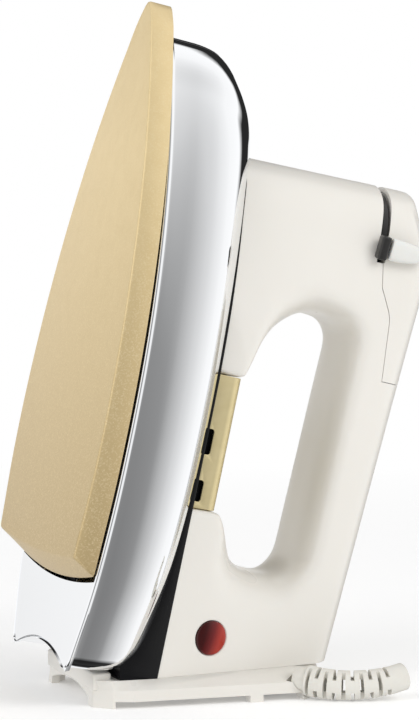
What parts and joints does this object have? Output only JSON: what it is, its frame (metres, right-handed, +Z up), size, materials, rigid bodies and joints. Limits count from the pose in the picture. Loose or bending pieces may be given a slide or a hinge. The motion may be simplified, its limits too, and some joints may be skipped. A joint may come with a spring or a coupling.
{
  "type": "clothes iron",
  "caption": "Heavy dry clothes iron standing on its heel: coated soleplate, chromed cover, loop handle with lever thermostat, pilot lamp and slotted cord guard.",
  "frame": {"origin": "on the surface the heel stands on, under the middle of the overall box", "axes": "+Z up along the standing iron towards the nose, -X the way the soleplate faces, +X the way the handle stands out, Y across the iron"},
  "size_m": [0.1521, 0.1106, 0.2565],
  "materials": {
    "gold_coat": "satin beige-gold non-stick coating with fine speckle",
    "chrome": "polished",
    "gold_trim": "satin pale gold anodised",
    "scale_gold": "satin olive gold",
    "ivory_plastic": "semi-gloss moulded",
    "black_plastic": "gloss moulded",
    "lever_dark": "satin moulded",
    "lever_white": "gloss, slightly translucent",
    "lamp_red": "deep red moulded lens",
    "holder_white": "satin",
    "neon_glass": "clear glass",
    "guard_white": "soft satin flexible moulding",
    "steel": "zinc plated",
    "spring_steel": "satin",
    "brass": "satin",
    "cast_iron": "as cast",
    "mica": "pale mica sheet",
    "insulation": "matt fibre board",
    "ceramic": "glazed beads",
    "contact_silver": "polished",
    "wire_sleeve": "braided glass sleeve"
  },
  "bodies": {
    "iron": {"bimetal_strip": "spring_steel", "cap_screw": "steel", "ceramic_beads": "ceramic", "contact_blade_lower": "brass", "contact_blade_upper": "brass", "contact_points": "contact_silver", "cord_clamp": "black_plastic", "cord_clamp_screws": "steel", "cord_guard": "guard_white", "cover": "chrome", "cover_spacers": "steel", "deck_plate": "gold_trim", "element_tags": "brass", "handle": "ivory_plastic", "handle_bolts": "steel", "handle_cap": "ivory_plastic", "heel_base": "ivory_plastic", "heel_screws": "steel", "insulation_sheet": "insulation", "lamp_holder": "holder_white", "lamp_lens": "lamp_red", "live_lead": "wire_sleeve", "mica_heating_element": "mica", "neon_lamp": "neon_glass", "neutral_lead": "wire_sleeve", "pressure_plate": "cast_iron", "scale_disc": "scale_gold", "skirt": "black_plastic", "sole_studs": "steel", "soleplate": "gold_coat", "spindle_bush": "brass", "stud_nuts": "steel", "tail_plate": "chrome", "terminal_block": "black_plastic", "terminal_screws": "brass", "thermostat_bracket": "spring_steel", "thermostat_insulators": "ceramic", "thermostat_lead": "wire_sleeve", "thermostat_rivet": "steel"},
    "lever": {"lever_disc": "lever_dark", "lever_finger": "lever_white", "spindle": "steel", "spindle_clip": "spring_steel"}
  },
  "joints": [
    {"name": "lever_turn", "type": "hinge", "parent": "iron", "child": "lever", "pos_m": [0.05581, 0, 0.16946], "axis": [-0.9768, 0, 0.2142], "range_deg": [0, 202]}
  ]
}
